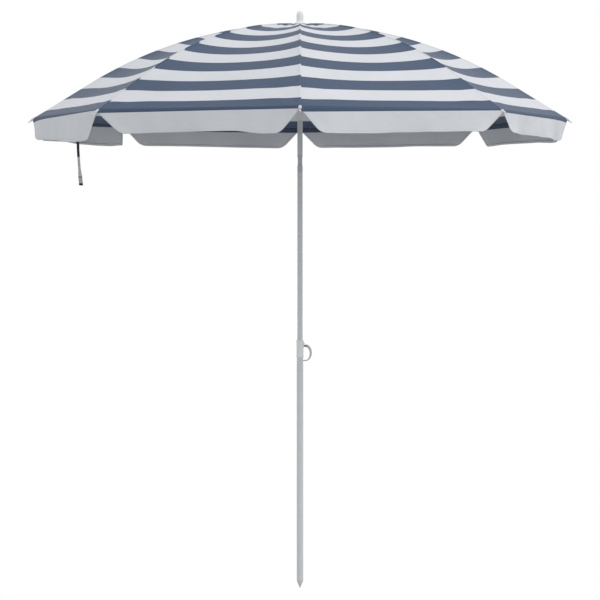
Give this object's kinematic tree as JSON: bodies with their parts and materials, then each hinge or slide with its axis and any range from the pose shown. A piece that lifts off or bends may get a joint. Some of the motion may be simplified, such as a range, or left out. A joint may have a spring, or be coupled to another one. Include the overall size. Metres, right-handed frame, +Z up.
{
  "type": "beach umbrella",
  "caption": "Striped beach umbrella with a ribbed folding canopy, hanging valance, tilting two-part pole with a lock pin, and a ground spike.",
  "frame": {"origin": "the tip of the ground spike, on the pole's axis", "axes": "+Z up along the pole; +X towards the lock pin; the canopy tilts towards +X about a hinge along Y"},
  "size_m": [2.258, 2.258, 2.4],
  "materials": {
    "pole_steel": "semi-gloss light grey powder coat",
    "spike_plastic": "moulded light grey plastic",
    "white_plastic": "moulded white plastic",
    "ring_plastic": "moulded grey plastic",
    "dark_metal": "dark zinc-plated steel",
    "cast_zinc": "painted zinc casting",
    "wire_steel": "galvanised wire",
    "rib_steel": "light grey coated spring steel",
    "tip_plastic": "moulded white plastic",
    "canopy_fabric": "plain-weave polyester in slate-blue and white stripes",
    "strap_fabric": "woven polyester strap with a hook-and-loop patch"
  },
  "bodies": {
    "lower_pole": {"lower_tube": "pole_steel", "ground_spike": "spike_plastic", "lock_collar": "white_plastic"},
    "lock_pin": {"lock_pin": "dark_metal"},
    "pin_ring": {"pin_ring": "ring_plastic"},
    "mid_pole": {"mid_tube": "pole_steel", "tube_guide": "white_plastic", "tilt_socket": "cast_zinc"},
    "tilt_button": {"tilt_button": "dark_metal"},
    "canopy_stick": {"tilt_knuckle": "cast_zinc", "tilt_pin": "dark_metal", "upper_tube": "pole_steel", "top_notch": "white_plastic", "notch_wire": "wire_steel", "finial": "white_plastic"},
    "runner": {"runner": "white_plastic", "runner_wire": "wire_steel"},
    "runner_catch": {"runner_catch": "dark_metal"},
    "rib_1": {"rib_1": "rib_steel", "rib_tip_1": "tip_plastic"},
    "stretcher_1": {"stretcher_1": "rib_steel"},
    "panel_1": {"canopy_panel_1": "canopy_fabric"},
    "valance_1": {"valance_1": "canopy_fabric"},
    "rib_2": {"rib_2": "rib_steel", "rib_tip_2": "tip_plastic"},
    "stretcher_2": {"stretcher_2": "rib_steel"},
    "panel_2": {"canopy_panel_2": "canopy_fabric"},
    "valance_2": {"valance_2": "canopy_fabric"},
    "rib_3": {"rib_3": "rib_steel", "rib_tip_3": "tip_plastic"},
    "stretcher_3": {"stretcher_3": "rib_steel"},
    "panel_3": {"canopy_panel_3": "canopy_fabric"},
    "valance_3": {"valance_3": "canopy_fabric"},
    "rib_4": {"rib_4": "rib_steel", "rib_tip_4": "tip_plastic"},
    "stretcher_4": {"stretcher_4": "rib_steel"},
    "panel_4": {"canopy_panel_4": "canopy_fabric"},
    "valance_4": {"valance_4": "canopy_fabric", "closing_strap": "strap_fabric"},
    "rib_5": {"rib_5": "rib_steel", "rib_tip_5": "tip_plastic"},
    "stretcher_5": {"stretcher_5": "rib_steel"},
    "panel_5": {"canopy_panel_5": "canopy_fabric"},
    "valance_5": {"valance_5": "canopy_fabric"},
    "rib_6": {"rib_6": "rib_steel", "rib_tip_6": "tip_plastic"},
    "stretcher_6": {"stretcher_6": "rib_steel"},
    "panel_6": {"canopy_panel_6": "canopy_fabric"},
    "valance_6": {"valance_6": "canopy_fabric"},
    "rib_7": {"rib_7": "rib_steel", "rib_tip_7": "tip_plastic"},
    "stretcher_7": {"stretcher_7": "rib_steel"},
    "panel_7": {"canopy_panel_7": "canopy_fabric"},
    "valance_7": {"valance_7": "canopy_fabric"},
    "rib_8": {"rib_8": "rib_steel", "rib_tip_8": "tip_plastic"},
    "stretcher_8": {"stretcher_8": "rib_steel"},
    "panel_8": {"canopy_panel_8": "canopy_fabric"},
    "valance_8": {"valance_8": "canopy_fabric"}
  },
  "joints": [
    {"name": "lock_pin_pull", "type": "slide", "parent": "lower_pole", "child": "lock_pin", "axis": [1, 0, 0], "range_m": [0, 0.025]},
    {"name": "pin_ring_swing", "type": "hinge", "parent": "lock_pin", "child": "pin_ring", "pos_m": [0.0246, 0, 1.01], "axis": [0, -1, 0], "range_deg": [0, 40]},
    {"name": "pole_height", "type": "slide", "parent": "lower_pole", "child": "mid_pole", "axis": [0, 0, -1], "range_m": [0, 0.44]},
    {"name": "tilt_button_press", "type": "slide", "parent": "mid_pole", "child": "tilt_button", "axis": [0, -1, 0], "range_m": [0, 0.002], "stiffness_N_per_m": 900, "springref_m": -0.001},
    {"name": "canopy_tilt", "type": "hinge", "parent": "mid_pole", "child": "canopy_stick", "pos_m": [0, 0, 1.775], "axis": [0, 1, 0], "range_deg": [0, 38]},
    {"name": "runner_slide", "type": "slide", "parent": "canopy_stick", "child": "runner", "axis": [0, 0, 1], "range_m": [-0.7848, 0]},
    {"name": "runner_catch_press", "type": "slide", "parent": "canopy_stick", "child": "runner_catch", "axis": [0, -1, 0], "range_m": [0, 0.003], "stiffness_N_per_m": 700, "springref_m": -0.001},
    {"name": "rib_1_fold", "type": "hinge", "parent": "canopy_stick", "child": "rib_1", "pos_m": [0.018, 0, 2.3365], "axis": [0, 1, 0], "range_deg": [0, 69.01]},
    {"name": "stretcher_1_fold", "type": "hinge", "parent": "rib_1", "child": "stretcher_1", "pos_m": [0.5581, 0, 2.23501], "axis": [0, -1, 0], "range_deg": [0, 125.84]},
    {"name": "panel_1_fold", "type": "hinge", "parent": "canopy_stick", "child": "panel_1", "pos_m": [0.01663, 0.00689, 2.3365], "axis": [-0.3827, 0.9239, 0], "range_deg": [0, 66.01], "deforming": ["canopy_panel_1"]},
    {"name": "valance_1_fold", "type": "hinge", "parent": "panel_1", "child": "valance_1", "pos_m": [0.94574, 0.39174, 1.95378], "axis": [0.3827, -0.9239, 0], "range_deg": [0, 66.01], "deforming": ["valance_1"]},
    {"name": "rib_2_fold", "type": "hinge", "parent": "canopy_stick", "child": "rib_2", "pos_m": [0.01273, 0.01273, 2.3365], "axis": [-0.7071, 0.7071, 0], "range_deg": [0, 69.01]},
    {"name": "stretcher_2_fold", "type": "hinge", "parent": "rib_2", "child": "stretcher_2", "pos_m": [0.39464, 0.39464, 2.23501], "axis": [0.7071, -0.7071, 0], "range_deg": [0, 125.84]},
    {"name": "panel_2_fold", "type": "hinge", "parent": "canopy_stick", "child": "panel_2", "pos_m": [0.00689, 0.01663, 2.3365], "axis": [-0.9239, 0.3827, 0], "range_deg": [0, 66.01], "deforming": ["canopy_panel_2"]},
    {"name": "valance_2_fold", "type": "hinge", "parent": "panel_2", "child": "valance_2", "pos_m": [0.39174, 0.94574, 1.95378], "axis": [0.9239, -0.3827, 0], "range_deg": [0, 66.01], "deforming": ["valance_2"]},
    {"name": "rib_3_fold", "type": "hinge", "parent": "canopy_stick", "child": "rib_3", "pos_m": [0, 0.018, 2.3365], "axis": [-1, 0, 0], "range_deg": [0, 69.01]},
    {"name": "stretcher_3_fold", "type": "hinge", "parent": "rib_3", "child": "stretcher_3", "pos_m": [0, 0.5581, 2.23501], "axis": [1, 0, 0], "range_deg": [0, 125.84]},
    {"name": "panel_3_fold", "type": "hinge", "parent": "canopy_stick", "child": "panel_3", "pos_m": [-0.00689, 0.01663, 2.3365], "axis": [-0.9239, -0.3827, 0], "range_deg": [0, 66.01], "deforming": ["canopy_panel_3"]},
    {"name": "valance_3_fold", "type": "hinge", "parent": "panel_3", "child": "valance_3", "pos_m": [-0.39174, 0.94574, 1.95378], "axis": [0.9239, 0.3827, 0], "range_deg": [0, 66.01], "deforming": ["valance_3"]},
    {"name": "rib_4_fold", "type": "hinge", "parent": "canopy_stick", "child": "rib_4", "pos_m": [-0.01273, 0.01273, 2.3365], "axis": [-0.7071, -0.7071, 0], "range_deg": [0, 69.01]},
    {"name": "stretcher_4_fold", "type": "hinge", "parent": "rib_4", "child": "stretcher_4", "pos_m": [-0.39464, 0.39464, 2.23501], "axis": [0.7071, 0.7071, 0], "range_deg": [0, 125.84]},
    {"name": "panel_4_fold", "type": "hinge", "parent": "canopy_stick", "child": "panel_4", "pos_m": [-0.01663, 0.00689, 2.3365], "axis": [-0.3827, -0.9239, 0], "range_deg": [0, 66.01], "deforming": ["canopy_panel_4"]},
    {"name": "valance_4_fold", "type": "hinge", "parent": "panel_4", "child": "valance_4", "pos_m": [-0.94574, 0.39174, 1.95378], "axis": [0.3827, 0.9239, 0], "range_deg": [0, 66.01], "deforming": ["valance_4", "closing_strap"]},
    {"name": "rib_5_fold", "type": "hinge", "parent": "canopy_stick", "child": "rib_5", "pos_m": [-0.018, 0, 2.3365], "axis": [0, -1, 0], "range_deg": [0, 69.01]},
    {"name": "stretcher_5_fold", "type": "hinge", "parent": "rib_5", "child": "stretcher_5", "pos_m": [-0.5581, 0, 2.23501], "axis": [0, 1, 0], "range_deg": [0, 125.84]},
    {"name": "panel_5_fold", "type": "hinge", "parent": "canopy_stick", "child": "panel_5", "pos_m": [-0.01663, -0.00689, 2.3365], "axis": [0.3827, -0.9239, 0], "range_deg": [0, 66.01], "deforming": ["canopy_panel_5"]},
    {"name": "valance_5_fold", "type": "hinge", "parent": "panel_5", "child": "valance_5", "pos_m": [-0.94574, -0.39174, 1.95378], "axis": [-0.3827, 0.9239, 0], "range_deg": [0, 66.01], "deforming": ["valance_5"]},
    {"name": "rib_6_fold", "type": "hinge", "parent": "canopy_stick", "child": "rib_6", "pos_m": [-0.01273, -0.01273, 2.3365], "axis": [0.7071, -0.7071, 0], "range_deg": [0, 69.01]},
    {"name": "stretcher_6_fold", "type": "hinge", "parent": "rib_6", "child": "stretcher_6", "pos_m": [-0.39464, -0.39464, 2.23501], "axis": [-0.7071, 0.7071, 0], "range_deg": [0, 125.84]},
    {"name": "panel_6_fold", "type": "hinge", "parent": "canopy_stick", "child": "panel_6", "pos_m": [-0.00689, -0.01663, 2.3365], "axis": [0.9239, -0.3827, 0], "range_deg": [0, 66.01], "deforming": ["canopy_panel_6"]},
    {"name": "valance_6_fold", "type": "hinge", "parent": "panel_6", "child": "valance_6", "pos_m": [-0.39174, -0.94574, 1.95378], "axis": [-0.9239, 0.3827, 0], "range_deg": [0, 66.01], "deforming": ["valance_6"]},
    {"name": "rib_7_fold", "type": "hinge", "parent": "canopy_stick", "child": "rib_7", "pos_m": [0, -0.018, 2.3365], "axis": [1, 0, 0], "range_deg": [0, 69.01]},
    {"name": "stretcher_7_fold", "type": "hinge", "parent": "rib_7", "child": "stretcher_7", "pos_m": [0, -0.5581, 2.23501], "axis": [-1, 0, 0], "range_deg": [0, 125.84]},
    {"name": "panel_7_fold", "type": "hinge", "parent": "canopy_stick", "child": "panel_7", "pos_m": [0.00689, -0.01663, 2.3365], "axis": [0.9239, 0.3827, 0], "range_deg": [0, 66.01], "deforming": ["canopy_panel_7"]},
    {"name": "valance_7_fold", "type": "hinge", "parent": "panel_7", "child": "valance_7", "pos_m": [0.39174, -0.94574, 1.95378], "axis": [-0.9239, -0.3827, 0], "range_deg": [0, 66.01], "deforming": ["valance_7"]},
    {"name": "rib_8_fold", "type": "hinge", "parent": "canopy_stick", "child": "rib_8", "pos_m": [0.01273, -0.01273, 2.3365], "axis": [0.7071, 0.7071, 0], "range_deg": [0, 69.01]},
    {"name": "stretcher_8_fold", "type": "hinge", "parent": "rib_8", "child": "stretcher_8", "pos_m": [0.39464, -0.39464, 2.23501], "axis": [-0.7071, -0.7071, 0], "range_deg": [0, 125.84]},
    {"name": "panel_8_fold", "type": "hinge", "parent": "canopy_stick", "child": "panel_8", "pos_m": [0.01663, -0.00689, 2.3365], "axis": [0.3827, 0.9239, 0], "range_deg": [0, 66.01], "deforming": ["canopy_panel_8"]},
    {"name": "valance_8_fold", "type": "hinge", "parent": "panel_8", "child": "valance_8", "pos_m": [0.94574, -0.39174, 1.95378], "axis": [-0.3827, -0.9239, 0], "range_deg": [0, 66.01], "deforming": ["valance_8"]}
  ],
  "couplings": [
    {"joint": "rib_1_fold", "follows": "runner_slide", "rad_per_m": -1.5345},
    {"joint": "stretcher_1_fold", "follows": "runner_slide", "rad_per_m": -2.7983},
    {"joint": "panel_1_fold", "follows": "runner_slide", "rad_per_m": -1.4678},
    {"joint": "valance_1_fold", "follows": "runner_slide", "rad_per_m": -1.4678},
    {"joint": "rib_2_fold", "follows": "runner_slide", "rad_per_m": -1.5345},
    {"joint": "stretcher_2_fold", "follows": "runner_slide", "rad_per_m": -2.7983},
    {"joint": "panel_2_fold", "follows": "runner_slide", "rad_per_m": -1.4678},
    {"joint": "valance_2_fold", "follows": "runner_slide", "rad_per_m": -1.4678},
    {"joint": "rib_3_fold", "follows": "runner_slide", "rad_per_m": -1.5345},
    {"joint": "stretcher_3_fold", "follows": "runner_slide", "rad_per_m": -2.7983},
    {"joint": "panel_3_fold", "follows": "runner_slide", "rad_per_m": -1.4678},
    {"joint": "valance_3_fold", "follows": "runner_slide", "rad_per_m": -1.4678},
    {"joint": "rib_4_fold", "follows": "runner_slide", "rad_per_m": -1.5345},
    {"joint": "stretcher_4_fold", "follows": "runner_slide", "rad_per_m": -2.7983},
    {"joint": "panel_4_fold", "follows": "runner_slide", "rad_per_m": -1.4678},
    {"joint": "valance_4_fold", "follows": "runner_slide", "rad_per_m": -1.4678},
    {"joint": "rib_5_fold", "follows": "runner_slide", "rad_per_m": -1.5345},
    {"joint": "stretcher_5_fold", "follows": "runner_slide", "rad_per_m": -2.7983},
    {"joint": "panel_5_fold", "follows": "runner_slide", "rad_per_m": -1.4678},
    {"joint": "valance_5_fold", "follows": "runner_slide", "rad_per_m": -1.4678},
    {"joint": "rib_6_fold", "follows": "runner_slide", "rad_per_m": -1.5345},
    {"joint": "stretcher_6_fold", "follows": "runner_slide", "rad_per_m": -2.7983},
    {"joint": "panel_6_fold", "follows": "runner_slide", "rad_per_m": -1.4678},
    {"joint": "valance_6_fold", "follows": "runner_slide", "rad_per_m": -1.4678},
    {"joint": "rib_7_fold", "follows": "runner_slide", "rad_per_m": -1.5345},
    {"joint": "stretcher_7_fold", "follows": "runner_slide", "rad_per_m": -2.7983},
    {"joint": "panel_7_fold", "follows": "runner_slide", "rad_per_m": -1.4678},
    {"joint": "valance_7_fold", "follows": "runner_slide", "rad_per_m": -1.4678},
    {"joint": "rib_8_fold", "follows": "runner_slide", "rad_per_m": -1.5345},
    {"joint": "stretcher_8_fold", "follows": "runner_slide", "rad_per_m": -2.7983},
    {"joint": "panel_8_fold", "follows": "runner_slide", "rad_per_m": -1.4678},
    {"joint": "valance_8_fold", "follows": "runner_slide", "rad_per_m": -1.4678}
  ]
}
